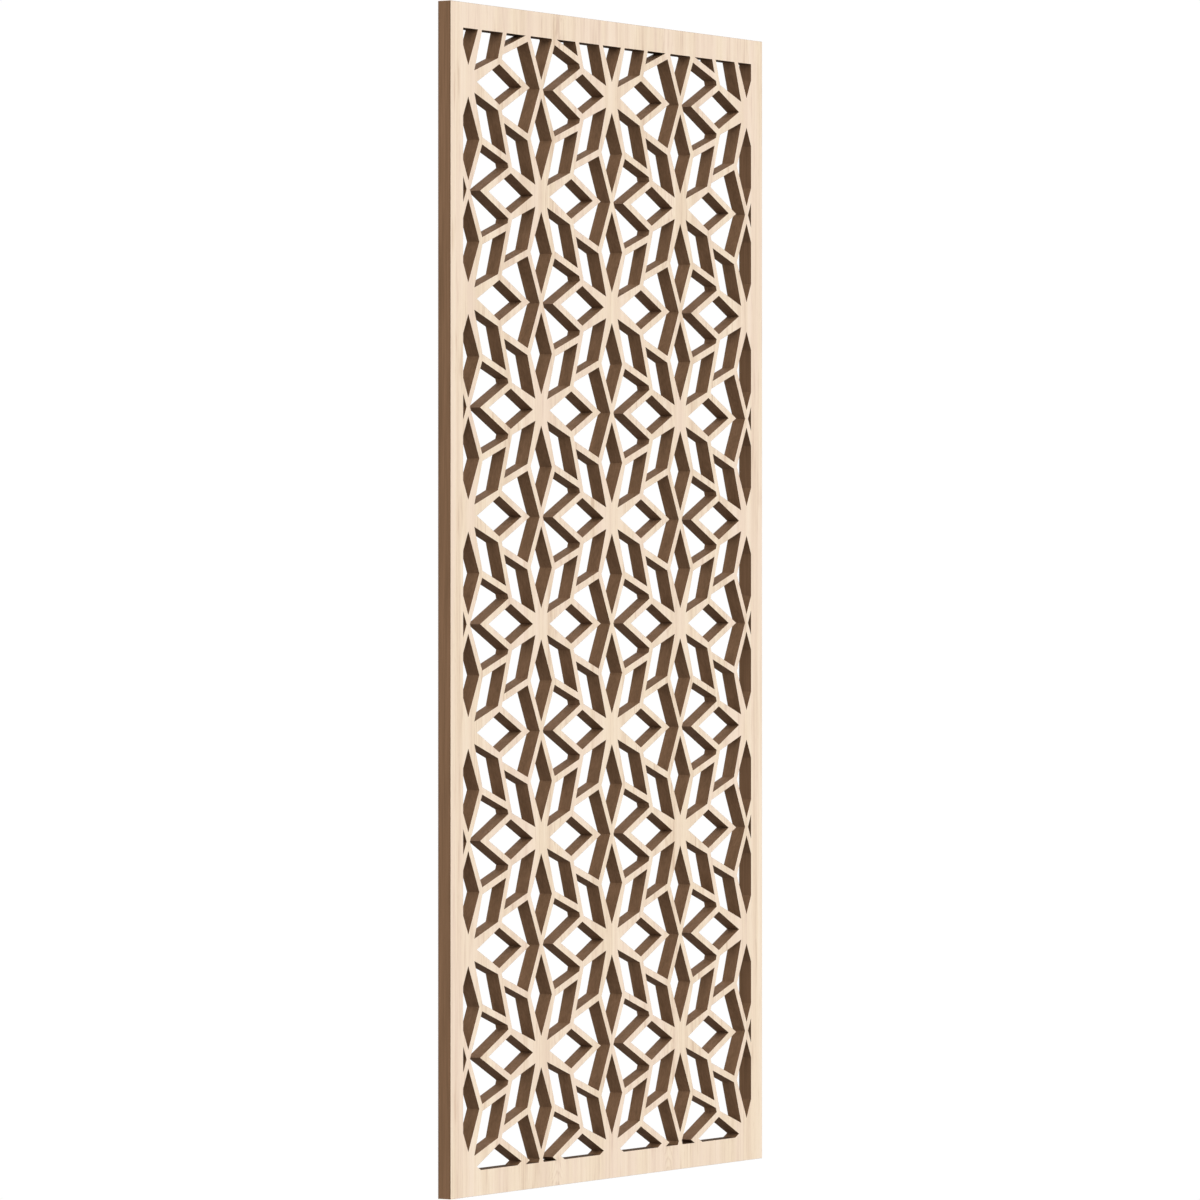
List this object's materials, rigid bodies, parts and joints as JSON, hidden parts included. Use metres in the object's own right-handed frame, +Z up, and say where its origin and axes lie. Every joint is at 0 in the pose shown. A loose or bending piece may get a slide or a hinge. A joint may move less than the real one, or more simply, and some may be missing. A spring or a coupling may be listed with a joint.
{
  "type": "fretwork wall panel",
  "caption": "Tall flat wooden wall panel, pierced right through with a geometric lattice of eight-pointed stars inside a plain border.",
  "frame": {"origin": "on the flat back, at the middle of the bottom border", "axes": "+Z up along the long side, +X along the short side, +Y out of the back; the face looks along -Y"},
  "size_m": [0.6, 0.015, 1.2],
  "materials": {
    "maple": "pale matt maple face with fine upright grain, and brown sawn edges"
  },
  "bodies": {
    "root": {"fretwork_panel": "maple"}
  },
  "joints": []
}
